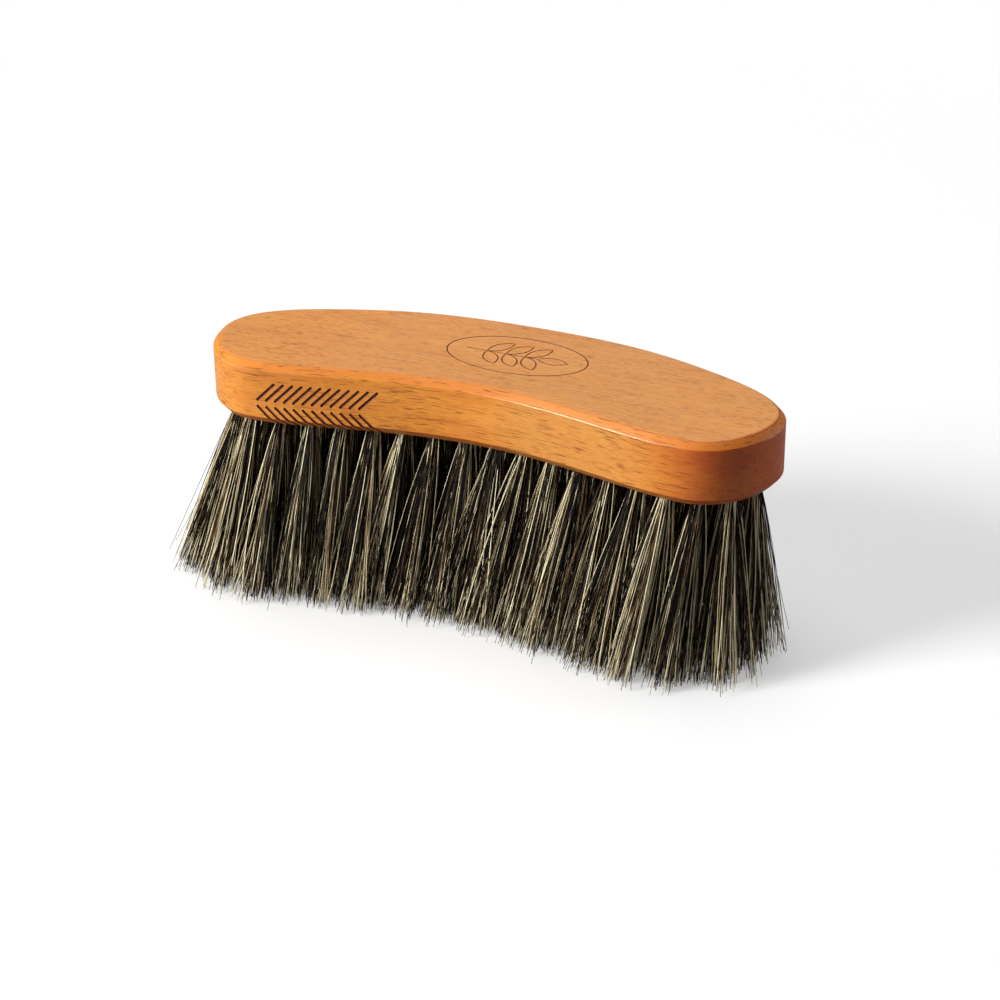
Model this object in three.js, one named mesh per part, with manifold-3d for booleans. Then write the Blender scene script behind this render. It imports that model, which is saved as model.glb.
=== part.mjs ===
// A palm-held duster brush: a kidney-shaped hardwood block with tufts of natural hair set in
// drilled holes in its underside, each tuft held at its fold by a wire staple.
// Millimetres, +Z up. X runs along the block, +Y is its convex back edge and -Y its concave
// front edge. The bristle tips stand on Z = 0, and the origin is the middle of the whole
// brush's footprint there.
import * as THREE from "three";
import { mergeVertices } from "three/addons/utils/BufferGeometryUtils.js";
import Module from "manifold-3d";

const wasm = await Module();
wasm.setup();

// Block
const BLOCK_THICKNESS = 22.4;
const HALF_LENGTH = 102.5;
const CHAMFER_IN = 2.3;
const CHAMFER_HIGH = 2.6;
const OUTLINE_STEPS = 12; // facets in each of the outline's eight curves

// Bristles
const TRIM = 64.6; // from the block's underside down to the tips
const BLOCK_BOTTOM = TRIM;
const BLOCK_TOP = BLOCK_BOTTOM + BLOCK_THICKNESS;
const TUFT_SIDES = 8;
const HOLE_RADIUS = 2.9;
const HOLE_DEPTH = 11;
const SIDE_GAP = 0.33; // between a tuft and its hole, measured at the corners of both
const END_GAP = 0.3;
const TIP_LEAN = 8.5; // how far every tip has leaned towards -X
const LARGEST_TIP_RADIUS = 6.4; // of a tuft that stands apart from its neighbours
const JOIN = 0.3; // how far the tips of a joined row's tufts run into each other

// Rows of tufts: how far in from the outline, how many, and how far their tips splay outwards
const OUTER_ROW = { inset: 9, count: 38, splay: 10.5 };
const INNER_FRONT_ROW = { inset: 18.5, count: 14, splay: 5.8, reach: 72 };
const INNER_BACK_ROW = { inset: 18.5, count: 14, splay: 5.8, reach: 69 };
const CENTRE_ROW = { count: 16, reach: 84, ends: -7.8, crown: 5.8 };
const SIDE_LINE = -2; // Y of a line between the two inner rows
const PATH_SAMPLES = 360;
const CROSSING_SAMPLES = 1000;

// Staples
const STAPLE_COUNT = 18; // the front row's, which are the ones made as pieces of their own
const WIRE_RADIUS = 0.35;
const WIRE_SIDES = 5;
const STAPLE_BEND = 1.5; // radius of the bend that lies over the fold of the hair
const STAPLE_LEG = 3.4;
const STAPLE_STEPS = 9;

// Engraving
const CUT_WIDTH = 0.9;
const CUT_DEPTH = 0.5;
const CHEVRON_COUNT = 12;
const CHEVRON_PITCH = 3.2;
const CHEVRON_START = -75.4;
const CHEVRON_MIDDLE = 7.9; // height of the line the strokes spring from, above the underside
const CHEVRON_GAP = 1.2; // from that line to the start of a stroke
const CHEVRON_RISE = 6.2;
const BISECTIONS = 40; // in finding where the front edge has a given X
const LINE_WIDTH = 0.5;
const LINE_DEPTH = 0.3;
const OVAL = { x: 3.7, y: 6.8, halfLength: 25.4, halfWidth: 14.7, facets: 20 };
const LEAF = { length: 11, halfWidth: 2.7, facets: 4 };
const SPRIG = { stem: 26, pairs: [-11, -4, 3], spread: 0.95 };

const wood = new THREE.MeshStandardMaterial({ color: 0xdc8f50, roughness: 0.5, metalness: 0 });
const hair = new THREE.MeshStandardMaterial({ color: 0x4a4335, roughness: 0.75, metalness: 0 });
const wire = new THREE.MeshStandardMaterial({ color: 0xb9bcc0, roughness: 0.35, metalness: 1 });

// ---- Solids and meshes ----

function toSolid(geometry) {
  const bare = geometry.clone();
  bare.deleteAttribute("normal");
  bare.deleteAttribute("uv");
  const merged = mergeVertices(bare, 1e-4);
  return new wasm.Manifold(
    new wasm.Mesh({
      numProp: 3,
      vertProperties: merged.attributes.position.array,
      triVerts: new Uint32Array(merged.index.array),
    }),
  );
}

function toGeometry(solid) {
  const { vertProperties, triVerts } = solid.getMesh();
  const geometry = new THREE.BufferGeometry();
  geometry.setAttribute("position", new THREE.BufferAttribute(vertProperties, 3));
  geometry.setIndex(new THREE.BufferAttribute(triVerts, 1));
  geometry.computeVertexNormals();
  return geometry;
}

function named(name, geometry, material) {
  const mesh = new THREE.Mesh(geometry, material);
  mesh.name = name;
  return mesh;
}

// ---- The block's outline ----

// Half of it, from the middle of the back edge round the +X lobe to the middle of the front
// edge, in curves that share a tangent where they meet.
function halfOutline() {
  const point = (x, y) => new THREE.Vector2(x, y);
  const back = point(0, 34.3);
  const shoulder = point(70.4, 22.3);
  const end = point(HALF_LENGTH, -7.2);
  const lobe = point(78.2, -34.1);
  const waist = point(0, -22.1);
  return [
    new THREE.CubicBezierCurve(back, point(32.3, back.y), point(48.6, 30.8), shoulder),
    new THREE.CubicBezierCurve(shoulder, point(85.1, 16.6), point(end.x, 8.7), end),
    new THREE.CubicBezierCurve(end, point(end.x, -17.6), point(93.4, lobe.y), lobe),
    new THREE.CubicBezierCurve(lobe, point(59.1, lobe.y), point(31.6, waist.y), waist),
  ];
}

function wholeOutline() {
  const half = halfOutline();
  const mirrored = (p) => new THREE.Vector2(-p.x, p.y);
  const shape = new THREE.Shape();
  shape.curves.push(...half);
  for (const c of half.reverse()) {
    shape.curves.push(
      new THREE.CubicBezierCurve(mirrored(c.v3), mirrored(c.v2), mirrored(c.v1), mirrored(c.v0)),
    );
  }
  return shape;
}

const outline = wholeOutline();

// The outline runs clockwise seen from above, so inwards is to the right of its tangent.
function insetPath(inset) {
  const points = [];
  for (let i = 0; i <= PATH_SAMPLES; i += 1) {
    const at = outline.getPoint(i / PATH_SAMPLES);
    const along = outline.getTangent(i / PATH_SAMPLES);
    points.push(new THREE.Vector2(at.x + along.y * inset, at.y - along.x * inset));
  }
  const path = new THREE.SplineCurve(points);
  path.arcLengthDivisions = 4 * PATH_SAMPLES;
  return path;
}

// ---- Where the tufts stand ----

// A tuft has a root, where its axis leaves the underside, and a tip on Z = 0.
function tuftAt(path, share, splay) {
  const root = path.getPointAt(share);
  const along = path.getTangentAt(share);
  const tip = new THREE.Vector2(root.x - along.y * splay - TIP_LEAN, root.y + along.x * splay);
  return { root, tip };
}

// The outer row is a closed ring, and half a pitch off the middle of the back edge.
function outerTufts() {
  const path = insetPath(OUTER_ROW.inset);
  const tufts = [];
  for (let i = 0; i < OUTER_ROW.count; i += 1) {
    tufts.push(tuftAt(path, (i + 0.5) / OUTER_ROW.count, OUTER_ROW.splay));
  }
  tufts.forEach((tuft, i) => {
    const neighbours = [tufts.at(i - 1), tufts[(i + 1) % tufts.length]];
    const room = Math.min(...neighbours.map((other) => tuft.tip.distanceTo(other.tip)));
    tuft.tipRadius = Math.min(LARGEST_TIP_RADIUS, room / 2 - END_GAP);
  });
  return tufts;
}

// Gives a row's tufts tips wide enough to run into their neighbours'.
function joined(tufts) {
  const flat = Math.cos(Math.PI / TUFT_SIDES); // a polygon's radius to a side, for each to a corner
  tufts.forEach((tuft, i) => {
    const neighbours = [tufts[i - 1], tufts[i + 1]].filter(Boolean);
    const pitch = Math.max(...neighbours.map((other) => tuft.tip.distanceTo(other.tip)));
    tuft.tipRadius = (pitch / 2 + JOIN) / flat;
  });
  return tufts;
}

// The shares of a path's length at which it crosses X = -reach and X = reach on one side.
function crossings(path, reach, isOnSide) {
  const inside = [];
  for (let i = 0; i <= CROSSING_SAMPLES; i += 1) {
    const share = i / CROSSING_SAMPLES;
    const at = path.getPointAt(share);
    if (isOnSide(at) && Math.abs(at.x) <= reach) {
      // The back edge is split by the path's own start, so its second half counts as negative.
      inside.push(at.y > SIDE_LINE && share > 0.5 ? share - 1 : share);
    }
  }
  return [Math.min(...inside), Math.max(...inside)];
}

function innerTufts(row, isOnSide) {
  const path = insetPath(row.inset);
  const [first, last] = crossings(path, row.reach, isOnSide);
  const tufts = [];
  for (let i = 0; i < row.count; i += 1) {
    const share = first + ((last - first) * i) / (row.count - 1);
    tufts.push(tuftAt(path, (share + 1) % 1, row.splay));
  }
  return joined(tufts);
}

function centreTufts() {
  const { count, reach, ends, crown } = CENTRE_ROW;
  const path = new THREE.QuadraticBezierCurve(
    new THREE.Vector2(-reach, ends),
    new THREE.Vector2(0, 2 * crown - ends),
    new THREE.Vector2(reach, ends),
  );
  const tufts = [];
  for (let i = 0; i < count; i += 1) {
    tufts.push(tuftAt(path, i / (count - 1), 0));
  }
  return joined(tufts);
}

const outerRow = outerTufts();
const innerFrontRow = innerTufts(INNER_FRONT_ROW, (p) => p.y < SIDE_LINE);
const innerBackRow = innerTufts(INNER_BACK_ROW, (p) => p.y > SIDE_LINE);
const centreRow = centreTufts();

// ---- Tufts and their holes ----

// Leans a solid of revolution about Z, which stands at a tuft's tip, along the tuft's axis.
function lean(geometry, { root, tip }) {
  const shear = new THREE.Matrix4().set(
    1, 0, (root.x - tip.x) / TRIM, tip.x,
    0, 1, (root.y - tip.y) / TRIM, tip.y,
    0, 0, 1, 0,
    0, 0, 0, 1,
  );
  return geometry.applyMatrix4(shear);
}

const CROWN_HEIGHT = BLOCK_BOTTOM + HOLE_DEPTH - END_GAP - WIRE_RADIUS - STAPLE_BEND;
const TUFT_TOP = CROWN_HEIGHT - WIRE_RADIUS - END_GAP;

function tuftGeometry(tuft) {
  const rootRadius = HOLE_RADIUS - SIDE_GAP;
  const profile = [
    new THREE.Vector2(0, 0),
    new THREE.Vector2(tuft.tipRadius, 0),
    new THREE.Vector2(rootRadius, BLOCK_BOTTOM),
    new THREE.Vector2(rootRadius, TUFT_TOP),
    new THREE.Vector2(0, TUFT_TOP),
  ];
  return lean(new THREE.LatheGeometry(profile, TUFT_SIDES).rotateX(Math.PI / 2), tuft);
}

function holeCutter(tuft) {
  const below = 2;
  const height = HOLE_DEPTH + below;
  const cylinder = new THREE.CylinderGeometry(HOLE_RADIUS, HOLE_RADIUS, height, TUFT_SIDES);
  cylinder.rotateX(Math.PI / 2);
  cylinder.translate(0, 0, BLOCK_BOTTOM - below + height / 2);
  return toSolid(lean(cylinder, tuft));
}

// ---- Staples ----

// The axis of a tuft's hole at its floor, where its staple is driven.
function holeFloor({ root, tip }) {
  return root.clone().lerp(tip, -HOLE_DEPTH / TRIM);
}

// A wire bent into an upright U: down one leg, round the bend over the hair, and up the other.
class StaplePath extends THREE.Curve {
  getPoint(t, target = new THREE.Vector3()) {
    const bend = Math.PI * STAPLE_BEND;
    const travelled = t * (2 * STAPLE_LEG + bend);
    if (travelled < STAPLE_LEG) {
      return target.set(-STAPLE_BEND, 0, STAPLE_LEG - travelled);
    }
    if (travelled > STAPLE_LEG + bend) {
      return target.set(STAPLE_BEND, 0, travelled - STAPLE_LEG - bend);
    }
    const turn = (travelled - STAPLE_LEG) / STAPLE_BEND;
    return target.set(-STAPLE_BEND * Math.cos(turn), 0, -STAPLE_BEND * Math.sin(turn));
  }
}

function stapleGeometry() {
  const section = new THREE.Shape();
  for (let i = 0; i < WIRE_SIDES; i += 1) {
    const turn = (2 * Math.PI * i) / WIRE_SIDES;
    const corner = [WIRE_RADIUS * Math.cos(turn), WIRE_RADIUS * Math.sin(turn)];
    if (i === 0) section.moveTo(...corner);
    else section.lineTo(...corner);
  }
  return new THREE.ExtrudeGeometry(section, {
    steps: STAPLE_STEPS,
    extrudePath: new StaplePath(),
  });
}

function stapleMesh(name, tuft) {
  const floor = holeFloor(tuft);
  const mesh = named(name, stapleGeometry(), wire);
  mesh.position.set(floor.x, floor.y, CROWN_HEIGHT + STAPLE_BEND);
  return mesh;
}

function legPocket(tuft, side) {
  const floor = holeFloor(tuft);
  const below = 0.5;
  const height = STAPLE_LEG + END_GAP + below;
  const radius = WIRE_RADIUS + SIDE_GAP;
  const pocket = new THREE.CylinderGeometry(radius, radius, height, WIRE_SIDES + 1);
  pocket.rotateX(Math.PI / 2);
  const top = CROWN_HEIGHT + STAPLE_BEND + STAPLE_LEG + END_GAP;
  pocket.translate(floor.x + side * STAPLE_BEND, floor.y, top - height / 2);
  return toSolid(pocket);
}

// ---- Engraving ----

// A point on the block's front, from its place along X and its height above the underside,
// on the upright side or, below its lower edge, on the chamfer.
function frontPoint(x, height) {
  let low = 0.25;
  let high = 0.75;
  for (let i = 0; i < BISECTIONS; i += 1) {
    const middle = (low + high) / 2;
    if (outline.getPoint(middle).x > x) low = middle;
    else high = middle;
  }
  const at = outline.getPoint(low);
  const back = Math.max(0, CHAMFER_HIGH - height) * (CHAMFER_IN / CHAMFER_HIGH);
  return new THREE.Vector3(at.x, at.y + back, BLOCK_BOTTOM + height);
}

// A bar along the surface from one point to another, half sunk in it. The surface there rises by
// `slope` for each millimetre it comes forward.
function strokeCutter(from, to, slope) {
  const along = to.clone().sub(from);
  const facing = new THREE.Vector3(0, -1, -slope).normalize();
  const across = new THREE.Vector3().crossVectors(facing, along).normalize();
  const out = new THREE.Vector3().crossVectors(along, across).normalize();
  const bar = new THREE.BoxGeometry(along.length(), CUT_WIDTH, 2 * CUT_DEPTH);
  const middle = from.clone().add(to).multiplyScalar(0.5);
  const frame = new THREE.Matrix4().makeBasis(along.normalize(), across, out).setPosition(middle);
  return toSolid(bar.applyMatrix4(frame));
}

function chevronCutters() {
  const cutters = [];
  for (let i = 0; i < CHEVRON_COUNT; i += 1) {
    const x = CHEVRON_START + i * CHEVRON_PITCH;
    const stroke = (from, to, slope = 0) =>
      strokeCutter(
        frontPoint(x + Math.abs(from), CHEVRON_MIDDLE + from),
        frontPoint(x + Math.abs(to), CHEVRON_MIDDLE + to),
        slope,
      );
    const edge = CHEVRON_MIDDLE - CHAMFER_HIGH;
    const overlap = CUT_DEPTH;
    cutters.push(stroke(CHEVRON_GAP, CHEVRON_GAP + CHEVRON_RISE));
    cutters.push(stroke(-CHEVRON_GAP, -edge - overlap));
    cutters.push(stroke(-edge, -CHEVRON_MIDDLE, CHAMFER_IN / CHAMFER_HIGH));
  }
  return cutters;
}

// Sinks a flat shape into the top of the block.
function lineCutter(shape, facets) {
  const cutter = new THREE.ExtrudeGeometry(shape, {
    depth: 2 * LINE_DEPTH,
    bevelEnabled: false,
    curveSegments: facets,
  });
  return toSolid(cutter.translate(0, 0, BLOCK_TOP - LINE_DEPTH));
}

function ovalCutter() {
  const oval = new THREE.Shape();
  oval.absellipse(OVAL.x, OVAL.y, OVAL.halfLength, OVAL.halfWidth, 0, 2 * Math.PI);
  const inside = new THREE.Path();
  const [length, width] = [OVAL.halfLength - LINE_WIDTH, OVAL.halfWidth - LINE_WIDTH];
  inside.absellipse(OVAL.x, OVAL.y, length, width, 0, 2 * Math.PI);
  oval.holes.push(inside);
  return lineCutter(oval, OVAL.facets);
}

// A leaf's edge, from its stalk at the origin along +X, drawn `margin` inside its full size.
function leafEdge(path, margin) {
  const base = 2 * margin;
  const tip = LEAF.length - 2 * margin;
  const bulge = 2 * (LEAF.halfWidth - margin);
  path.moveTo(base, 0);
  path.quadraticCurveTo(LEAF.length / 2, -bulge, tip, 0);
  path.quadraticCurveTo(LEAF.length / 2, bulge, base, 0);
  return path;
}

// A plain sprig of seven leaves inside the oval, lying along X.
function sprigCutters() {
  const leafSolid = (x, turn) => {
    const leaf = leafEdge(new THREE.Shape(), 0);
    leaf.holes.push(leafEdge(new THREE.Path(), LINE_WIDTH));
    const place = new THREE.Matrix4().makeRotationZ(turn).setPosition(OVAL.x + x, OVAL.y, 0);
    return lineCutter(leaf, LEAF.facets).transform(place.elements);
  };
  const stem = new THREE.BoxGeometry(SPRIG.stem, LINE_WIDTH, 2 * LINE_DEPTH);
  stem.translate(OVAL.x - LEAF.length / 2, OVAL.y, BLOCK_TOP);
  const tipX = SPRIG.stem / 2 - LEAF.length / 2;
  const cutters = [toSolid(stem), leafSolid(tipX, 0)];
  for (const x of SPRIG.pairs) {
    cutters.push(leafSolid(x, SPRIG.spread), leafSolid(x, -SPRIG.spread));
  }
  return cutters;
}

// ---- The block ----

function blockMesh(tufts, stapled) {
  const slab = new THREE.ExtrudeGeometry(outline, {
    depth: BLOCK_THICKNESS - 2 * CHAMFER_HIGH,
    bevelThickness: CHAMFER_HIGH,
    bevelSize: CHAMFER_IN,
    bevelOffset: -CHAMFER_IN,
    bevelSegments: 1,
    curveSegments: OUTLINE_STEPS,
  });
  slab.translate(0, 0, BLOCK_BOTTOM + CHAMFER_HIGH);
  const cutters = [
    ...tufts.map(holeCutter),
    ...stapled.flatMap((tuft) => [legPocket(tuft, -1), legPocket(tuft, 1)]),
    ...chevronCutters(),
    ovalCutter(),
    ...sprigCutters(),
  ];
  const cut = toSolid(slab).subtract(wasm.Manifold.union(cutters));
  return named("block", toGeometry(cut), wood);
}

// ---- Assembly ----

const twoDigits = (n) => String(n).padStart(2, "0");

// A row whose tufts run into each other at their tips is one solid.
function rowMesh(name, tufts) {
  const solids = tufts.map((tuft) => toSolid(tuftGeometry(tuft)));
  return named(name, toGeometry(wasm.Manifold.union(solids)), hair);
}

const brush = new THREE.Group();
const frontRow = outerRow
  .filter((tuft) => tuft.root.y < CENTRE_ROW.ends)
  .slice(0, STAPLE_COUNT);

brush.add(blockMesh([...outerRow, ...innerFrontRow, ...innerBackRow, ...centreRow], frontRow));
outerRow.forEach((tuft, i) => {
  brush.add(named(`outer_tuft_${twoDigits(i + 1)}`, tuftGeometry(tuft), hair));
});
brush.add(rowMesh("inner_front_tufts", innerFrontRow));
brush.add(rowMesh("inner_back_tufts", innerBackRow));
brush.add(rowMesh("centre_tufts", centreRow));
frontRow.forEach((tuft, i) => {
  brush.add(stapleMesh(`staple_${twoDigits(i + 1)}`, tuft));
});

// The tips lean, so the footprint's middle is a little off the block's own middle.
const footprint = new THREE.Box3().setFromObject(brush).getCenter(new THREE.Vector3());
brush.position.set(-footprint.x, -footprint.y, 0);

export default brush;
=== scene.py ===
"""A palm-held duster brush: a lacquered hardwood block with tufts of mixed black and cream
horsehair stapled into drilled holes. Lengths are in millimetres until a mesh is made."""

import math

import bmesh
import bpy
import numpy as np
from mathutils import Matrix, Vector


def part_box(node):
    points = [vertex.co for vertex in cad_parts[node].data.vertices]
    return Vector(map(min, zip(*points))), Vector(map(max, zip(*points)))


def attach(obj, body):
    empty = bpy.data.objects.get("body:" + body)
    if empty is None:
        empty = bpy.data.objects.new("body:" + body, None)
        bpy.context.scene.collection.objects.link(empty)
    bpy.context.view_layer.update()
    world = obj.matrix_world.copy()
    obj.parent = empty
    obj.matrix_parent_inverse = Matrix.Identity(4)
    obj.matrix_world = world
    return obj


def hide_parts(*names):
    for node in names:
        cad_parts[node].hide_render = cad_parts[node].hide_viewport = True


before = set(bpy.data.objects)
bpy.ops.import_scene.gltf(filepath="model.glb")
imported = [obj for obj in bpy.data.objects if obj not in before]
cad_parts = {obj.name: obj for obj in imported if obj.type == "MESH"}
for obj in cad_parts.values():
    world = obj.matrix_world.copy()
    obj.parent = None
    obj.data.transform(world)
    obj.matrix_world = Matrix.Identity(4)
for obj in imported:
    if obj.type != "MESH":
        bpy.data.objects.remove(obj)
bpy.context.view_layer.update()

MM = 0.001

# ---- Sizes shared with the CAD model ----

BLOCK_LOW, BLOCK_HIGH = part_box("block")
BOTTOM = BLOCK_LOW.z / MM
TOP = BLOCK_HIGH.z / MM
BACK_EDGE = 34.3
PLAN = np.array([(BLOCK_LOW.x + BLOCK_HIGH.x) / 2 / MM, BLOCK_HIGH.y / MM - BACK_EDGE])
CHAMFER_IN = 2.3
CHAMFER_HIGH = 2.6
HALF_OUTLINE = (
    ((0, BACK_EDGE), (32.3, BACK_EDGE), (48.6, 30.8), (70.4, 22.3)),
    ((70.4, 22.3), (85.1, 16.6), (102.5, 8.7), (102.5, -7.2)),
    ((102.5, -7.2), (102.5, -17.6), (93.4, -34.1), (78.2, -34.1)),
    ((78.2, -34.1), (59.1, -34.1), (31.6, -22.1), (0, -22.1)),
)
HOLE_RADIUS = 2.9
HOLE_DEPTH = 11
TIP_LEAN = 8.5
OUTER = {"inset": 9, "count": 38, "splay": 10.5}
INNER_FRONT = {"inset": 18.5, "count": 14, "splay": 5.8, "reach": 72}
INNER_BACK = {"inset": 18.5, "count": 14, "splay": 5.8, "reach": 69}
CENTRE = {"count": 16, "reach": 84, "ends": -7.8, "crown": 5.8}
STAPLE_BEND = 1.5
STAPLE_LEG = 3.4
WIRE_RADIUS = 0.35
STAPLED = 18
CLEARANCE = 0.3
CROWN = BOTTOM + HOLE_DEPTH - CLEARANCE - WIRE_RADIUS - STAPLE_BEND
TUFT_TOP = CROWN - WIRE_RADIUS - CLEARANCE

CHEVRONS = {"count": 12, "pitch": 3.2, "start": -75.4, "middle": 7.9, "gap": 1.2, "rise": 6.2}
UPPER_STROKE_RADIUS = 0.53
LOWER_STROKE_RADIUS = 0.5
OVAL = {"x": 3.7, "y": 6.8, "half_length": 25.2, "half_width": 14.5, "line_radius": 0.25}
LEAF = {"length": 11, "half_width": 2.5}
SPRIG = {"stem": 26, "pairs": (-11, -4, 3), "spread": 0.95, "line_radius": 0.23}

FINE_COUNT = 2400
CURVE_STEPS = 400


# ---- Curves ----


def bezier(points, t):
    """Points at t on a cubic Bezier curve."""
    a, b, c, d = (np.array(p, float) for p in points)
    t = t[:, None]
    s = 1 - t
    return s**3 * a + 3 * s * s * t * b + 3 * s * t * t * c + t**3 * d


def lengths_along(points):
    """How far along a polyline each of its points is."""
    steps = np.linalg.norm(np.diff(points, axis=0), axis=1)
    return np.concatenate([[0], np.cumsum(steps)])


def at_shares(points, shares):
    """Points at these shares of a polyline's length."""
    along = lengths_along(points)
    wanted = np.asarray(shares) * along[-1]
    return np.stack([np.interp(wanted, along, points[:, k]) for k in range(points.shape[1])], 1)


def tangents(points, closed):
    """Unit directions along a polyline."""
    if closed:
        steps = np.roll(points, -1, axis=0) - np.roll(points, 1, axis=0)
    else:
        steps = np.gradient(points, axis=0)
    return steps / np.linalg.norm(steps, axis=1)[:, None]


def outline_points(count):
    """The block's outline, evenly spaced, clockwise from the middle of its back edge."""
    t = np.linspace(0, 1, CURVE_STEPS)
    half = np.concatenate([bezier(curve, t)[:-1] for curve in HALF_OUTLINE])
    front = np.array([[0, HALF_OUTLINE[-1][3][1]]])
    mirrored = half[1:][::-1] * (-1, 1)
    whole = np.concatenate([half, front, mirrored, half[:1]])
    return at_shares(whole, np.arange(count) / count)


def inset(points, distance):
    """A closed clockwise curve moved inwards, which is to the right of its tangent."""
    along = tangents(points, closed=True)
    return points + distance * np.stack([along[:, 1], -along[:, 0]], 1)


# ---- Where the tufts stand ----

SMALL_SHARE = 1e-4
SIDE_LINE = 2


def tufts_along(path, shares, splay):
    """Each tuft's root in the underside and its tip on the floor, splayed outwards."""
    roots = at_shares(path, shares)
    ahead = at_shares(path, (np.asarray(shares) + SMALL_SHARE) % 1)
    along = ahead - roots
    along /= np.linalg.norm(along, axis=1)[:, None]
    outward = np.stack([-along[:, 1], along[:, 0]], 1)
    tips = roots + splay * outward + (-TIP_LEAN, 0)
    return [{"root": r + PLAN, "tip": t + PLAN} for r, t in zip(roots, tips)]


def closed_path(distance):
    """The outline moved inwards, with its first point again at the end."""
    path = inset(outline_points(FINE_COUNT), distance)
    return np.concatenate([path, path[:1]])


def inner_row(row, side):
    """A row along the front (side -1) or back (side 1) of an inset outline."""
    path = closed_path(row["inset"])
    shares = np.linspace(0, 1, 2001)
    at = at_shares(path, shares)
    inside = (at[:, 1] * side > SIDE_LINE) & (np.abs(at[:, 0]) <= row["reach"])
    if side > 0:
        shares = np.where(shares > 0.5, shares - 1, shares)
    chosen = np.linspace(shares[inside].min(), shares[inside].max(), row["count"])
    return tufts_along(path, chosen % 1, row["splay"])


def centre_row():
    """The row between the two inner ones, along a shallow arch."""
    reach, ends, crown = CENTRE["reach"], CENTRE["ends"], CENTRE["crown"]
    t = np.linspace(0, 1, CURVE_STEPS)[:, None]
    a, b, c = np.array([(-reach, ends), (0, 2 * crown - ends), (reach, ends)], float)
    path = (1 - t) ** 2 * a + 2 * t * (1 - t) * b + t**2 * c
    shares = np.linspace(0, 1 - 2 * SMALL_SHARE, CENTRE["count"])
    return tufts_along(path, shares, 0)


outer_row = tufts_along(
    closed_path(OUTER["inset"]), (np.arange(OUTER["count"]) + 0.5) / OUTER["count"], OUTER["splay"]
)
front_row = inner_row(INNER_FRONT, -1)
back_row = inner_row(INNER_BACK, 1)
middle_row = centre_row()
all_tufts = outer_row + front_row + back_row + middle_row


def axis_at(tuft, z):
    """Where a tuft's axis is at height z."""
    share = np.asarray(z)[..., None] / BOTTOM
    return tuft["tip"] + (tuft["root"] - tuft["tip"]) * share


# ---- Meshes ----


def new_object(name, points, faces, materials):
    """A smooth mesh object in the scene, from points in millimetres."""
    mesh = bpy.data.meshes.new(name)
    mesh.from_pydata((np.asarray(points) * MM).tolist(), [], faces)
    for material in materials:
        mesh.materials.append(material)
    mesh.shade_smooth()
    obj = bpy.data.objects.new(name, mesh)
    bpy.context.scene.collection.objects.link(obj)
    return obj


def sweep(path, radius, sides, closed=False, up=(0, 0, 1)):
    """Points and faces of a round bar along a path; an open one has rounded ends."""
    path = np.asarray(path, float)
    if closed:
        centres, radii = path, np.full(len(path), radius)
        along = tangents(path, closed=True)
    else:
        first, last = path[0] - path[1], path[-1] - path[-2]
        first, last = first / np.linalg.norm(first), last / np.linalg.norm(last)
        turns = np.radians([90, 60, 30])
        start = [path[0] + first * radius * math.sin(a) for a in turns]
        end = [path[-1] + last * radius * math.sin(a) for a in turns[::-1]]
        ends = np.maximum(np.cos(turns), 0.05) * radius
        centres = np.concatenate([start, path, end])
        radii = np.concatenate([ends, np.full(len(path), radius), ends[::-1]])
        along = tangents(centres, closed=False)
    side = np.cross(along, up)
    side /= np.linalg.norm(side, axis=1)[:, None]
    out = np.cross(side, along)
    turn = np.arange(sides) * 2 * math.pi / sides
    ring = side[:, None] * np.cos(turn)[None, :, None] + out[:, None] * np.sin(turn)[None, :, None]
    points = (centres[:, None] + ring * radii[:, None, None]).reshape(-1, 3)
    count = len(centres)
    faces = []
    for i in range(count if closed else count - 1):
        j = (i + 1) % count
        for k in range(sides):
            m = (k + 1) % sides
            faces.append((i * sides + k, j * sides + k, j * sides + m, i * sides + m))
    if not closed:
        faces.append(tuple(range(sides)))
        faces.append(tuple(reversed(range((count - 1) * sides, count * sides))))
    return points, faces


def gathered(parts):
    """Several (points, faces) as one."""
    points, faces, base = [], [], 0
    for some, links in parts:
        points.append(some)
        faces += [tuple(i + base for i in f) for f in links]
        base += len(some)
    return np.concatenate(points), faces


def faced_out(obj):
    """Turns a closed mesh's faces outwards."""
    bm = bmesh.new()
    bm.from_mesh(obj.data)
    bmesh.ops.recalc_face_normals(bm, faces=bm.faces)
    bm.to_mesh(obj.data)
    bm.free()


# ---- Materials ----


def material(name):
    """A new material, its node tree and its Principled shader."""
    made = bpy.data.materials.new(name)
    made.use_nodes = True
    tree = made.node_tree
    return made, tree, tree.nodes["Principled BSDF"]


def link(tree, value, socket):
    """Gives a socket a number, or another socket's value."""
    if isinstance(value, bpy.types.NodeSocket):
        tree.links.new(value, socket)
    else:
        socket.default_value = value


def stretched(tree, scale):
    """Object coordinates in millimetres, times a scale for each axis."""
    coords = tree.nodes.new("ShaderNodeTexCoord")
    mapping = tree.nodes.new("ShaderNodeMapping")
    mapping.inputs["Scale"].default_value = [s / MM for s in scale]
    tree.links.new(coords.outputs["Object"], mapping.inputs["Vector"])
    return mapping.outputs["Vector"]


def noise(tree, scale, detail=2.0, roughness=0.5, distortion=0.0, seed=0.0):
    """Noise from 0 to 1, with about `scale` features a millimetre along X, Y and Z."""
    node = tree.nodes.new("ShaderNodeTexNoise")
    node.noise_dimensions = "4D"
    node.inputs["W"].default_value = seed
    node.inputs["Scale"].default_value = 1
    node.inputs["Detail"].default_value = detail
    node.inputs["Roughness"].default_value = roughness
    node.inputs["Distortion"].default_value = distortion
    tree.links.new(stretched(tree, scale), node.inputs["Vector"])
    return node.outputs["Fac"]


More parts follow.
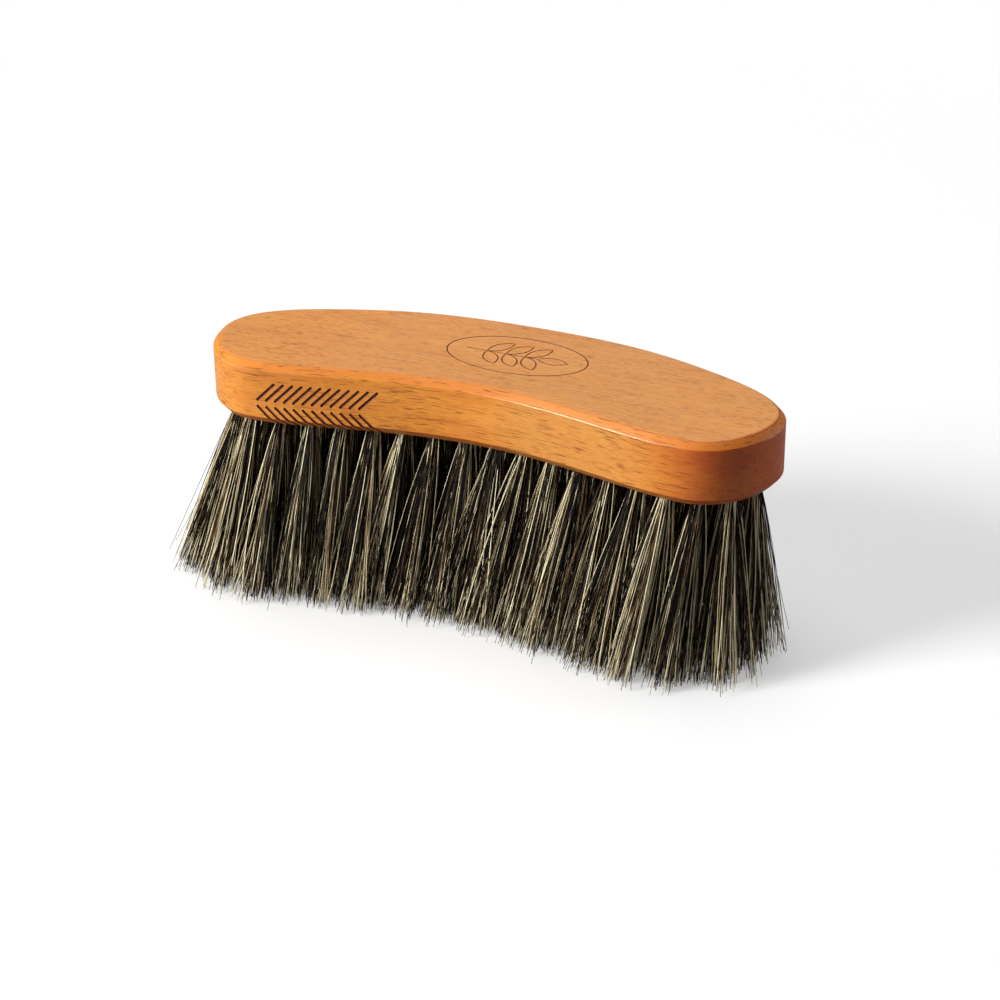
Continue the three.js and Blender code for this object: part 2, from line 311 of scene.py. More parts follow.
def span(tree, value, low, high, to_low=0.0, to_high=1.0):
    """Maps low..high smoothly to to_low..to_high."""
    node = tree.nodes.new("ShaderNodeMapRange")
    node.interpolation_type = "SMOOTHSTEP"
    link(tree, value, node.inputs["Value"])
    for name, number in zip(("From Min", "From Max", "To Min", "To Max"), (low, high, to_low, to_high)):
        node.inputs[name].default_value = number
    return node.outputs["Result"]


def calc(tree, operation, a, b=0.0):
    node = tree.nodes.new("ShaderNodeMath")
    node.operation = operation
    link(tree, a, node.inputs[0])
    link(tree, b, node.inputs[1])
    return node.outputs[0]


def mixed(tree, share, a, b, blend="MIX"):
    node = tree.nodes.new("ShaderNodeMix")
    node.data_type = "RGBA"
    node.blend_type = blend
    link(tree, share, node.inputs["Factor"])
    for socket, value in zip(node.inputs[6:8], (a, b)):
        link(tree, value if isinstance(value, bpy.types.NodeSocket) else (*value, 1), socket)
    return node.outputs[2]


def ramp(tree, value, stops):
    """A colour for a value, from (position, colour) stops."""
    node = tree.nodes.new("ShaderNodeValToRGB")
    elements = node.color_ramp.elements
    while len(elements) < len(stops):
        elements.new(0.5)
    for element, (position, colour) in zip(elements, stops):
        element.position = position
        element.color = (*colour, 1)
    link(tree, value, node.inputs["Fac"])
    return node.outputs["Color"]


def bumped(tree, shader, height, distance, strength):
    node = tree.nodes.new("ShaderNodeBump")
    node.inputs["Distance"].default_value = distance * MM
    node.inputs["Strength"].default_value = strength
    tree.links.new(height, node.inputs["Height"])
    tree.links.new(node.outputs["Normal"], shader.inputs["Normal"])


def upward(tree):
    """How far the surface faces up, from -1 to 1."""
    geometry = tree.nodes.new("ShaderNodeNewGeometry")
    parts = tree.nodes.new("ShaderNodeSeparateXYZ")
    tree.links.new(geometry.outputs["True Normal"], parts.inputs[0])
    return parts.outputs["Z"]


def along_block(tree):
    """Millimetres along the block from its middle."""
    coords = tree.nodes.new("ShaderNodeTexCoord")
    parts = tree.nodes.new("ShaderNodeSeparateXYZ")
    tree.links.new(coords.outputs["Object"], parts.inputs[0])
    return calc(tree, "SUBTRACT", calc(tree, "DIVIDE", parts.outputs["X"], MM), PLAN[0])


def times(tree, first, *rest):
    """The product of several masks or numbers."""
    for value in rest:
        first = calc(tree, "MULTIPLY", first, value)
    return first


def wood_masks(tree):
    """Where the surface is flat top, chamfer, the top's rounded rim or underside, 0 to 1 each."""
    up = upward(tree)
    return {
        "up": up,
        "along": along_block(tree),
        "top": span(tree, up, 0.75, 0.97),
        "chamfer": times(tree, span(tree, up, 0.60, 0.655), span(tree, up, 0.68, 0.85, 1, 0)),
        "rim": times(tree, span(tree, up, 0.70, 0.80), span(tree, up, 0.90, 0.985, 1, 0)),
        "under": span(tree, up, -0.62, -0.3, 1, 0),
    }


def wood_tint_and_painted_light(tree, masks):
    """The wood's colour: banded and paler past the middle; browner at the left end, a painted shade,
    and duller on top, a painted sheen of the lacquer.
    """
    along = masks["along"]
    bands = noise(tree, (0.010, 0.17, 0.17), detail=3, distortion=0.5, seed=2.0)
    colour = mixed(tree, span(tree, bands, 0.35, 0.68), (0.760, 0.285, 0.038), (0.680, 0.225, 0.028))
    pale = times(tree, span(tree, along, 0, 22, 0, 0.65), span(tree, along, 52, 76, 1, 0))
    colour = mixed(tree, pale, colour, (0.640, 0.305, 0.072))
    # Painted shade: the left end, where the key lamp falls brightest, is darkened and dulled.
    colour = mixed(tree, span(tree, along, -101, -82, 0.8, 0), colour, (0.530, 0.275, 0.075))
    # Painted sheen: the top is duller and greyer than the sides, standing in for the lacquer's
    # reflection of the room.
    return mixed(tree, times(tree, masks["top"], 0.85), colour, (0.655, 0.280, 0.070))


def wood_grain(tree, masks, colour, fibre, blotch):
    """Mottling, fibre, long lines, pale blotches and dark streaks, all drawn out along X."""
    mottle = noise(tree, (0.25, 0.7, 0.7), detail=5, roughness=0.7, seed=31.0)
    colour = mixed(tree, span(tree, mottle, 0.45, 0.7, 0, 0.25), colour, (0.50, 0.130, 0.016))
    colour = mixed(tree, span(tree, fibre, 0.42, 0.75, 0, 0.4), colour, (0.52, 0.145, 0.018))
    lines = noise(tree, (0.02, 1.1, 1.1), detail=3, roughness=0.6, seed=44.0)
    colour = mixed(tree, span(tree, lines, 0.48, 0.66, 0, 0.25), colour, (0.50, 0.140, 0.020))
    colour = mixed(tree, span(tree, blotch, 0.5, 0.75, 0, 0.35), colour, (0.80, 0.33, 0.065))
    streak = noise(tree, (0.014, 0.60, 0.60), detail=3, distortion=0.6, seed=11.4)
    streaks = times(tree, span(tree, streak, 0.56, 0.72), span(tree, masks["top"], 0, 1, 0.6, 0.12))
    return mixed(tree, streaks, colour, (0.30, 0.060, 0.010))


def wood_rim_and_painted_shade(tree, masks, colour, blotch):
    """Painted shade on the chamfers, the right end and the underside, and deeper colour on the rim."""
    chamfer = masks["chamfer"]
    # Painted shade: the chamfers are deepened to take back the light that their highlight spreads over
    # them.
    colour = mixed(tree, times(tree, chamfer, 0.6), colour, (0.640, 0.185, 0.010))
    colour = mixed(tree, times(tree, masks["rim"], 0.45), colour, (0.52, 0.120, 0.012))
    # Painted shade: the right end, turned away from the key lamp, is darkened and reddened.
    painted_end_shade = times(
        tree,
        span(tree, masks["along"], 60, 90),
        span(tree, masks["top"], 0, 1, 1, 0),
        span(tree, blotch, 0.3, 0.6, 0.7, 0.9),
        span(tree, chamfer, 0, 1, 1, 0.25),
    )
    colour = mixed(tree, painted_end_shade, colour, (0.440, 0.062, 0.007))
    # Painted shade: surfaces that face down are darkened.
    return mixed(tree, times(tree, masks["under"], 0.6), colour, (0.27, 0.050, 0.009))


def wood_marks(tree, masks):
    """Short dark flecks, which show most on top, and thin pores, which show most on the sides."""
    top = masks["top"]
    flecks = noise(tree, (0.30, 2.3, 2.3), detail=1, roughness=0.5, seed=14.0)
    pores = noise(tree, (0.13, 0.45, 3.4), detail=1, roughness=0.4, seed=17.0)
    patches = noise(tree, (0.03, 0.10, 0.10), detail=2, seed=3.3)
    near = span(tree, patches, 0.35, 0.7, -0.03, 0.03)
    flecks = span(tree, calc(tree, "ADD", flecks, near), 0.59, 0.62)
    pores = span(tree, calc(tree, "ADD", pores, near), 0.605, 0.65)
    flecks = times(tree, flecks, span(tree, top, 0, 1, 0.06, 0.40))
    pores = times(tree, pores, span(tree, top, 0, 1, 0.66, 0.15))
    return calc(tree, "ADD", flecks, pores)


def wood_roughness(tree, masks):
    """Satin lacquer, dull at the left end and rubbed shiny along the chamfer's lower edge."""
    up, along = masks["up"], masks["along"]
    worn = noise(tree, (0.08, 0.35, 0.35), detail=4, seed=21.0)
    satin = span(tree, worn, 0.3, 0.75, 0.32, 0.44)
    satin = calc(tree, "ADD", satin, times(tree, masks["chamfer"], 0.16))
    grit = noise(tree, (0.9, 2.5, 2.5), detail=2, seed=27.0)
    rubbed = times(
        tree,
        span(tree, up, 0.20, 0.38),
        span(tree, up, 0.58, 0.65, 1, 0),
        span(tree, along, -50, 0),
        span(tree, along, 60, 76, 1, 0),
        span(tree, grit, 0.35, 0.55, 0.4, 1),
    )
    satin = calc(tree, "SUBTRACT", satin, times(tree, rubbed, 0.28))
    return calc(tree, "ADD", satin, span(tree, along, -80, -40, 0.22, 0))


def lacquered_wood():
    """Straight-grained orange-brown hardwood under a satin lacquer, its grain along X."""
    made, tree, shader = material("lacquered_hardwood")
    masks = wood_masks(tree)
    fibre = noise(tree, (0.06, 1.8, 1.8), detail=5, roughness=0.6, seed=5.0)
    blotch = noise(tree, (0.06, 0.12, 0.12), detail=3, seed=8.0)
    marks = wood_marks(tree, masks)
    colour = wood_tint_and_painted_light(tree, masks)
    colour = wood_grain(tree, masks, colour, fibre, blotch)
    colour = wood_rim_and_painted_shade(tree, masks, colour, blotch)
    colour = mixed(tree, marks, colour, (0.17, 0.032, 0.007))
    tree.links.new(colour, shader.inputs["Base Color"])
    tree.links.new(wood_roughness(tree, masks), shader.inputs["Roughness"])
    shader.inputs["Specular IOR Level"].default_value = 0.34
    relief = calc(tree, "SUBTRACT", times(tree, fibre, 0.35), marks)
    bumped(tree, shader, relief, 0.05, 0.5)
    return made


def burnt_wood():
    """The scorched floor of the engraved strokes."""
    made, tree, shader = material("burnt_engraving")
    scorch = noise(tree, (0.35, 0.8, 0.8), detail=4, seed=4.0)
    colour = ramp(tree, scorch, ((0.35, (0.075, 0.014, 0.004)), (0.7, (0.230, 0.045, 0.011))))
    tree.links.new(colour, shader.inputs["Base Color"])
    shader.inputs["Roughness"].default_value = 0.75
    bumped(tree, shader, scorch, 0.1, 0.5)
    return made


def drilled_wood():
    """Bare wood, as a drill leaves it."""
    made, tree, shader = material("drilled_hardwood")
    fibre = noise(tree, (0.05, 2.4, 2.4), detail=4, seed=6.0)
    colour = ramp(tree, fibre, ((0.3, (0.34, 0.12, 0.035)), (0.7, (0.50, 0.21, 0.075))))
    tree.links.new(colour, shader.inputs["Base Color"])
    shader.inputs["Roughness"].default_value = 0.8
    bumped(tree, shader, fibre, 0.1, 0.4)
    return made


def horsehair():
    """Black, brown and cream hair. Each hair's shade is its "shade" attribute, and "along" runs
    from 0 at its root to 1 at its tip."""
    made, tree, shader = material("horsehair")
    shade = tree.nodes.new("ShaderNodeAttribute")
    shade.attribute_name = "shade"
    along = tree.nodes.new("ShaderNodeAttribute")
    along.attribute_name = "along"
    uneven = noise(tree, (0.9, 0.9, 0.10), detail=3, seed=1.0)
    level = calc(tree, "ADD", shade.outputs["Fac"], span(tree, uneven, 0.3, 0.7, -0.05, 0.05))
    level = calc(tree, "ADD", level, span(tree, along.outputs["Fac"], 0.7, 1.0, 0, 0.10))
    colour = ramp(
        tree,
        level,
        (
            (0.00, (0.003, 0.0025, 0.002)),
            (0.42, (0.008, 0.006, 0.0045)),
            (0.55, (0.070, 0.034, 0.014)),
            (0.66, (0.230, 0.130, 0.055)),
            (0.78, (0.640, 0.520, 0.290)),
            (1.00, (1.000, 0.900, 0.620)),
        ),
    )
    tree.links.new(colour, shader.inputs["Base Color"])
    shader.inputs["Roughness"].default_value = 0.4
    shader.inputs["Specular IOR Level"].default_value = 0.12
    return made


def staple_steel():
    """Plain drawn wire."""
    made, tree, shader = material("staple_steel")
    drawn = noise(tree, (3, 3, 0.6), detail=3, seed=9.0)
    colour = ramp(tree, drawn, ((0.3, (0.42, 0.43, 0.45)), (0.7, (0.66, 0.67, 0.69))))
    tree.links.new(colour, shader.inputs["Base Color"])
    shader.inputs["Metallic"].default_value = 1
    shader.inputs["Roughness"].default_value = 0.35
    bumped(tree, shader, drawn, 0.02, 0.4)
    return made


WOOD = lacquered_wood()
BURNT = burnt_wood()
DRILLED = drilled_wood()
HAIR = horsehair()
STEEL = staple_steel()

# ---- The block ----

TOP_ROUND = 2.0
EDGE_ROUND = 0.75
ROUND_STEPS = 5
CAP_RING = 1.3
OUTLINE_COUNT = 320
CREASE_ANGLE = 38
HOLE_OVERRUN = 2


def rounded(corners, radii, steps):
    """A polyline with its inner corners rounded, each to its own radius."""
    corners = np.array(corners, float)
    made = [corners[0]]
    for before, corner, after, radius in zip(corners, corners[1:], corners[2:], radii):
        back, on = before - corner, after - corner
        back, on = back / np.linalg.norm(back), on / np.linalg.norm(on)
        half = math.acos(np.clip(back @ on, -1, 1)) / 2
        centre = corner + (back + on) / np.linalg.norm(back + on) * radius / math.sin(half)
        start = corner + back * radius / math.tan(half) - centre
        end = corner + on * radius / math.tan(half) - centre
        turn = math.pi - 2 * half
        for i in range(steps + 1):
            share = i / steps
            made.append(
                centre
                + (math.sin((1 - share) * turn) * start + math.sin(share * turn) * end)
                / math.sin(turn)
            )
    made.append(corners[-1])
    return made


def block_body():
    """The uncut block: its rounded edge profile carried round the outline."""
    profile = rounded(
        (
            (CHAMFER_IN + CAP_RING, TOP),
            (CHAMFER_IN, TOP),
            (0, TOP - CHAMFER_HIGH),
            (0, BOTTOM + CHAMFER_HIGH),
            (CHAMFER_IN, BOTTOM),
            (CHAMFER_IN + CAP_RING, BOTTOM),
        ),
        (TOP_ROUND, EDGE_ROUND, EDGE_ROUND, EDGE_ROUND),
        ROUND_STEPS,
    )
    outline = outline_points(OUTLINE_COUNT)
    rings = []
    for distance, z in profile:
        ring = inset(outline, distance) + PLAN
        rings.append(np.column_stack([ring, np.full(len(ring), z)]))
    n = OUTLINE_COUNT
    faces = [tuple(reversed(range(n)))]
    for i in range(len(rings) - 1):
        for k in range(n):
            m = (k + 1) % n
            faces.append((i * n + k, i * n + m, (i + 1) * n + m, (i + 1) * n + k))
    faces.append(tuple(range((len(rings) - 1) * n, len(rings) * n)))
    return new_object("block_shaped", np.concatenate(rings), faces, (WOOD,))


def front_point(x, height):
    """A point on the block's front at x along it and a height above its underside."""
    outline = outline_points(FINE_COUNT)
    front = outline[FINE_COUNT // 4 : 3 * FINE_COUNT // 4]
    y = np.interp(x, front[::-1, 0], front[::-1, 1])
    back = max(0, CHAMFER_HIGH - height) * CHAMFER_IN / CHAMFER_HIGH
    return np.array([x + PLAN[0], y + back + PLAN[1], BOTTOM + height])


def engraved_strokes():
    """Two rows of slanted strokes that meet in chevrons; the lower row runs onto the chamfer."""
    strokes = []
    middle, gap, rise = CHEVRONS["middle"], CHEVRONS["gap"], CHEVRONS["rise"]
    for i in range(CHEVRONS["count"]):
        x = CHEVRONS["start"] + i * CHEVRONS["pitch"]
        upper = [front_point(x + h, middle + h) for h in np.linspace(gap, gap + rise, 4)]
        edge = middle - CHAMFER_HIGH
        heights = (*np.linspace(gap, edge, 3), (edge + middle) / 2, middle)
        lower = [front_point(x + h, middle - h) for h in heights]
        strokes.append(sweep(upper, UPPER_STROKE_RADIUS, 10, up=(0, 1, 0)))
        strokes.append(sweep(lower, LOWER_STROKE_RADIUS, 10, up=(0, 1, 0)))
    return strokes


def oval_line():
    """The oval round the sprig, on the top face."""
    turn = np.linspace(0, 2 * math.pi, 160, endpoint=False)
    points = np.column_stack(
        [
            PLAN[0] + OVAL["x"] + OVAL["half_length"] * np.cos(turn),
            PLAN[1] + OVAL["y"] + OVAL["half_width"] * np.sin(turn),
            np.full(len(turn), TOP),
        ]
    )
    return sweep(points, OVAL["line_radius"], 8, closed=True)


def top_line(flat, closed=False):
    """A thin line engraved in the top face along flat points."""
    path = np.column_stack([flat, np.full(len(flat), TOP)])
    return sweep(path, SPRIG["line_radius"], 8, closed=closed)


def leaf_line(base, turn):
    """A pointed leaf's outline, from its base and turned from the stem's direction."""
    share = np.linspace(0, 1, 12)
    edge = np.column_stack([LEAF["length"] * share, LEAF["half_width"] * 4 * share * (1 - share)])
    whole = np.concatenate([edge, edge[-2:0:-1] * (1, -1)])
    c, s = math.cos(turn), math.sin(turn)
    return top_line(whole @ np.array([[c, s], [-s, c]]) + base, closed=True)


def sprig_lines():
    """A stem with three pairs of leaves and one at its end."""
    centre = np.array([PLAN[0] + OVAL["x"], PLAN[1] + OVAL["y"]])
    half = LEAF["length"] / 2
    ends = np.array([(-SPRIG["stem"] / 2 - half, 0), (SPRIG["stem"] / 2 - half, 0)]) + centre
    lines = [top_line(at_shares(ends, np.linspace(0, 1, 6)))]
    lines.append(leaf_line(ends[1], 0))
    for x in SPRIG["pairs"]:
        for turn in (SPRIG["spread"], -SPRIG["spread"]):
            lines.append(leaf_line(centre + (x, 0), turn))
    return lines


def drilled_holes():
    """A drill's path for each tuft, from under the block to the hole's end."""
    sides = 24
    turn = np.arange(sides) * 2 * math.pi / sides
    circle = HOLE_RADIUS * np.column_stack([np.cos(turn), np.sin(turn)])
    holes = []
    for tuft in all_tufts:
        rings = []
        for z in (BOTTOM - HOLE_OVERRUN, BOTTOM + HOLE_DEPTH):
            rings.append(np.column_stack([circle + axis_at(tuft, z), np.full(sides, z)]))
        faces = [(k, (k + 1) % sides, sides + (k + 1) % sides, sides + k) for k in range(sides)]
        faces += [tuple(reversed(range(sides))), tuple(range(sides, 2 * sides))]
        holes.append((np.concatenate(rings), faces))
    return holes


def cut(obj, parts, floor, overlapping=False):
    """Cuts solids out of an object; the cut faces take the material `floor`."""
    tool = new_object("cutting_tool", *gathered(parts), (floor,))
    faced_out(tool)
    modifier = obj.modifiers.new("cut", "BOOLEAN")
    modifier.operation = "DIFFERENCE"
    modifier.solver = "EXACT"
    modifier.material_mode = "TRANSFER"
    modifier.use_self = overlapping
    modifier.object = tool
    bpy.context.view_layer.objects.active = obj
    with bpy.context.temp_override(object=obj, active_object=obj, selected_objects=[obj]):
        bpy.ops.object.modifier_apply(modifier=modifier.name)
    mesh = tool.data
    bpy.data.objects.remove(tool)
    bpy.data.meshes.remove(mesh)


block = block_body()
cut(block, drilled_holes(), DRILLED)
cut(block, [*engraved_strokes(), oval_line()], BURNT)
cut(block, sprig_lines(), BURNT, overlapping=True)
block.data.shade_smooth()
block.data.set_sharp_from_angle(angle=math.radians(CREASE_ANGLE))
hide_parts("block")
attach(block, "root")

# ---- Hair ----

OUTER_HAIR = {"hairs": 440, "tip_radius": 6.8, "points": 9}
INNER_HAIR = {"hairs": 180, "tip_radius": 6.6, "points": 7}
HAIR_SIDES = 3
HOLE_FILL = 2.15
FLARE_POWER = 0.92

HAIRS_IN_LOCK = 13
LOCK_SPREAD = 0.4
LOCK_GATHER = 0.6
LOCK_DRIFT = 0.40
TIP_JITTER = 0.32
DRAW_LIMIT = 1.8

LIGHT_SHARE = 0.25
LIGHT_BY_LOCK = 0.44
BROWN_SHARE = 0.15

TRIM = 0.15
UNEVEN_TRIM = 0.7
BROKEN_SHARE = 0.07
SHORTEST_AT = 16

CURLY_SHARE = 0.12
CURLY = 2.5
BOW = 2.8
STRAY_SHARE = 0.02
STRAY = 3.8
STRAY_TIP = 0.8


def point_values(obj, name, values):
    """A number for each point of a mesh, which its material reads by name."""
    made = obj.data.attributes.new(name, "FLOAT", "POINT")
    made.data.foreach_set("value", np.asarray(values, np.float32))


def hair_mesh(name, paths, radii, shades):
    """One mesh of hairs: paths is hairs x points x 3, radii hairs x points, shades one a hair."""
    hairs, count, _ = paths.shape
    along = np.gradient(paths, axis=1)
    along /= np.linalg.norm(along, axis=2)[..., None]
    side = np.cross(along, (0.0, 1.0, 0.0))
    side /= np.linalg.norm(side, axis=2)[..., None]
    out = np.cross(side, along)
    turn = np.arange(HAIR_SIDES) * 2 * math.pi / HAIR_SIDES
    ring = side[:, :, None] * np.cos(turn)[:, None] + out[:, :, None] * np.sin(turn)[:, None]
    points = paths[:, :, None] + ring * radii[:, :, None, None]
    index = np.arange(hairs * count * HAIR_SIDES).reshape(hairs, count, HAIR_SIDES)
    nextward = np.roll(index, -1, axis=2)
    quads = np.stack([index[:, :-1], index[:, 1:], nextward[:, 1:], nextward[:, :-1]], -1)
    faces = quads.reshape(-1, 4).tolist()
    faces += index[:, 0].tolist() + index[:, -1, ::-1].tolist()
    obj = new_object(name, points.reshape(-1, 3), faces, (HAIR,))
    point_values(obj, "shade", np.repeat(shades, count * HAIR_SIDES))
    point_values(obj, "along", np.tile(np.repeat(np.linspace(0, 1, count), HAIR_SIDES), hairs))
    return obj


def in_disc(rng, count):
    """Points spread evenly in a disc of radius 1."""
    turn = rng.uniform(0, 2 * math.pi, count)
    return np.sqrt(rng.uniform(0, 1, count))[:, None] * np.column_stack([np.cos(turn), np.sin(turn)])


def sideways(rng, count):
    """A normal draw in X and Y for each hair or lock, with none of them far out."""
    return np.clip(rng.normal(size=(count, 2)), -DRAW_LIMIT, DRAW_LIMIT)


def hair_shades(rng, lock_light):
    """Each hair is black, brown or cream; a lock with a high lock_light has more cream."""
    count = len(lock_light)
    pick = rng.uniform(size=count)
    light = LIGHT_SHARE + LIGHT_BY_LOCK * (lock_light - 0.5)
    black = rng.uniform(0.0, 0.40, count)
    brown = rng.uniform(0.46, 0.68, count)
    cream = rng.uniform(0.72, 1.0, count)
    return np.where(pick < light, cream, np.where(pick < light + BROWN_SHARE, brown, black))


def hair_ends(rng, lock_short):
    """How far above the floor each hair ends: most are trimmed nearly level, a few are broken."""
    hairs = len(lock_short)
    short = TRIM + lock_short + rng.exponential(UNEVEN_TRIM, hairs)
    broken = rng.uniform(size=hairs) < BROKEN_SHARE
    short = np.where(broken, short + rng.uniform(2, 12, hairs), short)
    return np.minimum(short, SHORTEST_AT)


def hair_bends(rng, hairs, spread):
    """How far each hair strays sideways on its way down."""
    curl = np.where(rng.uniform(size=(hairs, 1, 1)) < CURLY_SHARE, CURLY, 1.0)
    bow = curl * sideways(rng, hairs)[:, None] * spread * (1 - spread) * BOW
    hook = curl * sideways(rng, hairs)[:, None] * spread**3
    is_stray = rng.uniform(size=(hairs, 1, 1)) < STRAY_SHARE
    stray = is_stray * rng.uniform(-1, 1, (hairs, 1, 2))
    return bow + hook + stray * (STRAY * spread + STRAY_TIP * spread**3)


def tuft_hairs(rng, tuft, hairs, tip_radius, points):
    """Hairs that leave the hole as one bunch and part into small locks towards their tips."""
    locks = max(6, hairs // HAIRS_IN_LOCK)
    lock_at = in_disc(rng, locks)
    lock_light = rng.uniform(0.0, 1.0, locks)
    lock_short = rng.exponential(UNEVEN_TRIM, locks)
    lock_drift = LOCK_DRIFT * sideways(rng, locks)
    lock = rng.integers(0, locks, hairs)
    place = lock_at[lock] + LOCK_SPREAD * in_disc(rng, hairs)
    place /= np.maximum(1, np.linalg.norm(place, axis=1))[:, None]
    tip_place = lock_at[lock] + (place - lock_at[lock]) * LOCK_GATHER + lock_drift[lock]
    tip_place += TIP_JITTER * sideways(rng, hairs)
    shade = hair_shades(rng, lock_light[lock])
    ends = hair_ends(rng, lock_short[lock])
    heights = TUFT_TOP + (ends - TUFT_TOP)[:, None] * np.linspace(0, 1, points)
    spread = np.clip((BOTTOM - heights) / BOTTOM, 0, 1)[..., None]
    flare = spread**FLARE_POWER
    flat = axis_at(tuft, heights) + place[:, None] * HOLE_FILL * (1 - flare)
    flat = flat + tip_place[:, None] * tip_radius * flare + hair_bends(rng, hairs, spread)
    thick = rng.uniform(0.10, 0.14, hairs) + 0.05 * (shade > 0.7) + 0.06 * (shade > 0.9)
    thick = thick[:, None] * (1 - 0.2 * spread[..., 0] ** 4)
    return np.concatenate([flat, heights[..., None]], 2), thick, shade


def dress(name, tuft, node, seed, hair):
    """Puts one tuft's hairs in the place of a CAD tuft, or of one tuft of a CAD row."""
    rng = np.random.default_rng(seed)
    obj = hair_mesh(name, *tuft_hairs(rng, tuft, **hair))
    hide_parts(node)
    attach(obj, "root")


for i, tuft in enumerate(outer_row):
    dress(f"hair_outer_{i + 1:02d}", tuft, f"outer_tuft_{i + 1:02d}", 100 + i, OUTER_HAIR)
for label, node, row, first_seed in (
    ("inner_front", "inner_front_tufts", front_row, 2100),
    ("inner_back", "inner_back_tufts", back_row, 2000),
    ("centre", "centre_tufts", middle_row, 1600),
):
    for i, tuft in enumerate(row):
        dress(f"hair_{label}_{i + 1:02d}", tuft, node, first_seed + i, INNER_HAIR)

# ---- Staples ----


def staple_path(tuft):
    """A wire bent into an upright U whose bend lies over the fold of the hair."""
    at = axis_at(tuft, BOTTOM + HOLE_DEPTH)
    turn = np.linspace(0, math.pi, 13)
    bend = np.column_stack([-STAPLE_BEND * np.cos(turn), -STAPLE_BEND * np.sin(turn)])
    legs = np.linspace(STAPLE_LEG, 0.5, 4)[:, None]
    left = np.column_stack([np.full(4, -STAPLE_BEND), legs])
    right = np.column_stack([np.full(4, STAPLE_BEND), legs[::-1]])
    flat = np.concatenate([left, bend, right])
    up = CROWN + STAPLE_BEND + flat[:, 1]
    return np.column_stack([at[0] + flat[:, 0], np.full(len(flat), at[1]), up])


def staple(name, tuft, node):
    """One wire staple, in the place of its CAD node."""
    obj = new_object(name, *sweep(staple_path(tuft), WIRE_RADIUS, 12, up=(0, 1, 0)), (STEEL,))
    faced_out(obj)
    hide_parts(node)
    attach(obj, "root")


stapled = [t for t in outer_row if t["root"][1] - PLAN[1] < CENTRE["ends"]][:STAPLED]
for i, tuft in enumerate(stapled):
    staple(f"wire_staple_{i + 1:02d}", tuft, f"staple_{i + 1:02d}")

# ---- Floor, light and camera ----

FLOOR_REACH = 6.0
FLOOR_SEEN = (0.94, 0.94, 0.94)
FLOOR_BOUNCE = (0.3, 0.3, 0.3)
ROOM_LIGHT = 0.035
LIGHTS_AIM = 0.06


def blended(tree, share, a, b):
    """One shader turning into another."""
    node = tree.nodes.new("ShaderNodeMixShader")
    for socket, value in zip(node.inputs, (share, a, b)):
        tree.links.new(value, socket)
    return node.outputs[0]


def floor():
    """Pale as seen, darker as the brush sees it, and clear from below, both to the eye and to
    the lamp there. Away from the brush it fades into the white room."""
    mesh = bpy.data.meshes.new("floor")
    r = FLOOR_REACH
    mesh.from_pydata([(-r, -r, 0), (r, -r, 0), (r, r, 0), (-r, r, 0)], [], [(0, 1, 2, 3)])
    made, tree, shader = material("pale_floor")
    rays = tree.nodes.new("ShaderNodeLightPath").outputs
    seen = rays["Is Camera Ray"]
    tree.links.new(mixed(tree, seen, FLOOR_BOUNCE, FLOOR_SEEN), shader.inputs["Base Color"])
    shader.inputs["Roughness"].default_value = 0.9
    away = tree.nodes.new("ShaderNodeVectorMath")
    away.operation = "LENGTH"
    tree.links.new(tree.nodes.new("ShaderNodeTexCoord").outputs["Object"], away.inputs[0])
    # Painted light: the floor glows white for the camera, which lightens the brush's cast shadow near
    # it and turns the floor wholly white further out.
    fade = times(tree, seen, span(tree, away.outputs["Value"], 0.2, 0.7, 0.35, 1))
    white = tree.nodes.new("ShaderNodeEmission").outputs[0]
    shown = blended(tree, fade, shader.outputs[0], white)
    behind = tree.nodes.new("ShaderNodeNewGeometry").outputs["Backfacing"]
    clear = tree.nodes.new("ShaderNodeBsdfTransparent").outputs[0]
    see_through = calc(tree, "MAXIMUM", behind, rays["Is Shadow Ray"])
    surface = blended(tree, see_through, shown, clear)
    tree.links.new(surface, tree.nodes["Material Output"].inputs["Surface"])
    mesh.materials.append(made)
    obj = bpy.data.objects.new("floor", mesh)
    bpy.context.scene.collection.objects.link(obj)


def area_light(name, direction, distance, size, power):
    """A soft rectangular lamp that faces the middle of the brush from a direction."""
    light = bpy.data.lights.new(name, "AREA")
    light.shape = "RECTANGLE"
    light.size, light.size_y = size
    light.energy = power
    obj = bpy.data.objects.new(name, light)
    bpy.context.scene.collection.objects.link(obj)
    target = Vector((PLAN[0] * MM, PLAN[1] * MM, LIGHTS_AIM))
    away = Vector(direction).normalized()
    obj.location = target + away * distance
    obj.rotation_euler = away.to_track_quat("Z", "Y").to_euler()


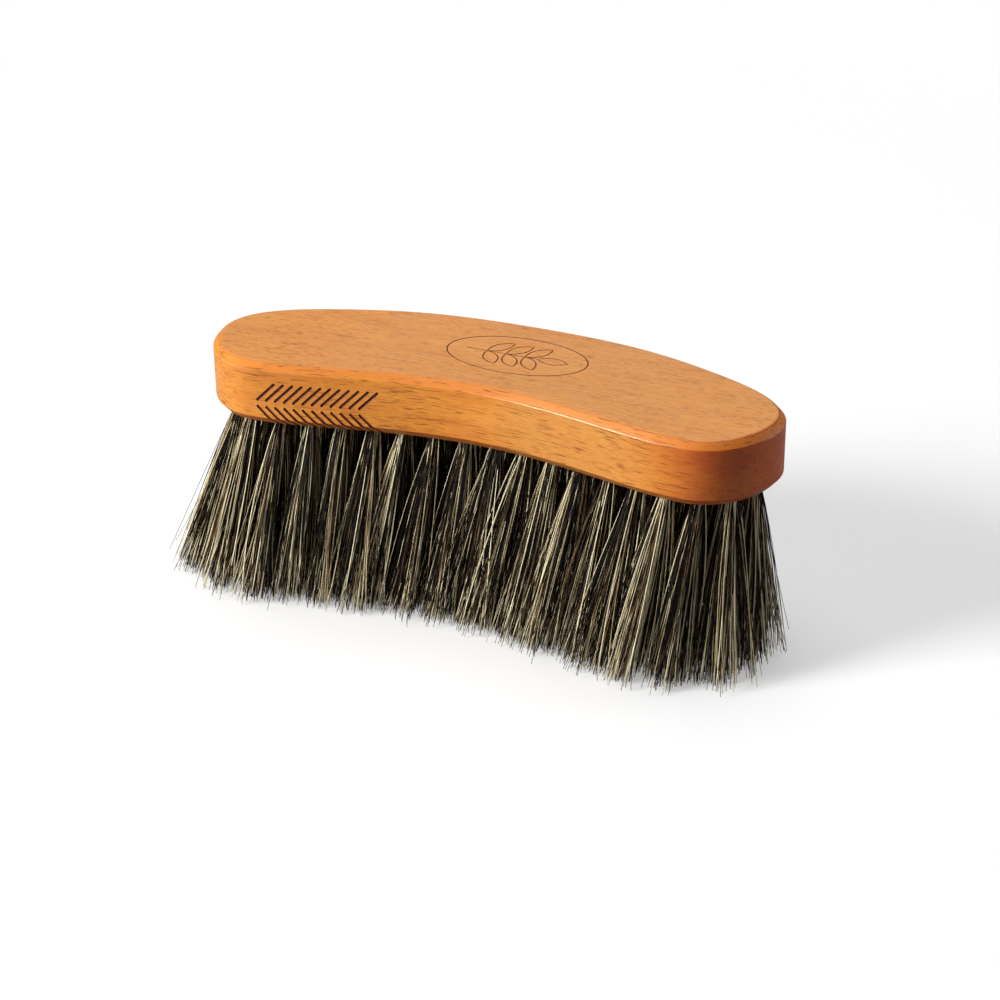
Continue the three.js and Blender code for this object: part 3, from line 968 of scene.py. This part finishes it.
def studio():
    """A white room, which lights the brush much less than it shows."""
    world = bpy.data.worlds.new("studio")
    world.use_nodes = True
    tree = world.node_tree
    background = tree.nodes["Background"]
    background.inputs["Color"].default_value = (1, 1, 1, 1)
    seen = tree.nodes.new("ShaderNodeLightPath").outputs["Is Camera Ray"]
    tree.links.new(span(tree, seen, 0, 1, ROOM_LIGHT, 1), background.inputs["Strength"])
    bpy.context.scene.world = world
    bpy.context.scene.view_settings.view_transform = "Standard"
    bpy.context.scene.view_settings.look = "None"


floor()
studio()
area_light("key", (-0.675, -0.608, 0.42), 3.0, (1.1, 1.1), 132)
area_light("overhead", (-0.1, 0.15, 1.0), 2.6, (2.2, 2.2), 39)
area_light("back_card", (-0.37, 0.81, 0.45), 3.0, (3.0, 1.2), 9)
area_light("right_card", (0.77, 0.64, 0.14), 3.0, (1.2, 1.0), 30)
area_light("below", (0.1, -0.2, -1.0), 1.6, (1.5, 1.5), 4)

CAMERA = {
    "place": (308.54, -665.64, 322.32),
    "elevation": 27.041,
    "azimuth": 24.870,
    "roll": -0.596,
    "lens": 85.94,
}


def photo_camera():
    """The camera, placed from the middle of the block's top face."""
    elevation, azimuth, roll = (math.radians(CAMERA[k]) for k in ("elevation", "azimuth", "roll"))
    flat = math.cos(elevation)
    back = Vector((math.sin(azimuth) * flat, -math.cos(azimuth) * flat, math.sin(elevation)))
    right = Vector((math.cos(azimuth), math.sin(azimuth), 0))
    up = back.cross(right)
    turned = right * math.cos(roll) + up * math.sin(roll)
    up = up * math.cos(roll) - right * math.sin(roll)
    camera = bpy.data.cameras.new("camera")
    camera.sensor_width = 36
    camera.lens = CAMERA["lens"]
    camera.clip_start = 0.05
    obj = bpy.data.objects.new("camera", camera)
    bpy.context.scene.collection.objects.link(obj)
    place = (Vector((PLAN[0], PLAN[1], TOP)) + Vector(CAMERA["place"])) * MM
    obj.matrix_world = Matrix.Translation(place) @ Matrix((turned, up, back)).transposed().to_4x4()
    bpy.context.scene.camera = obj


photo_camera()
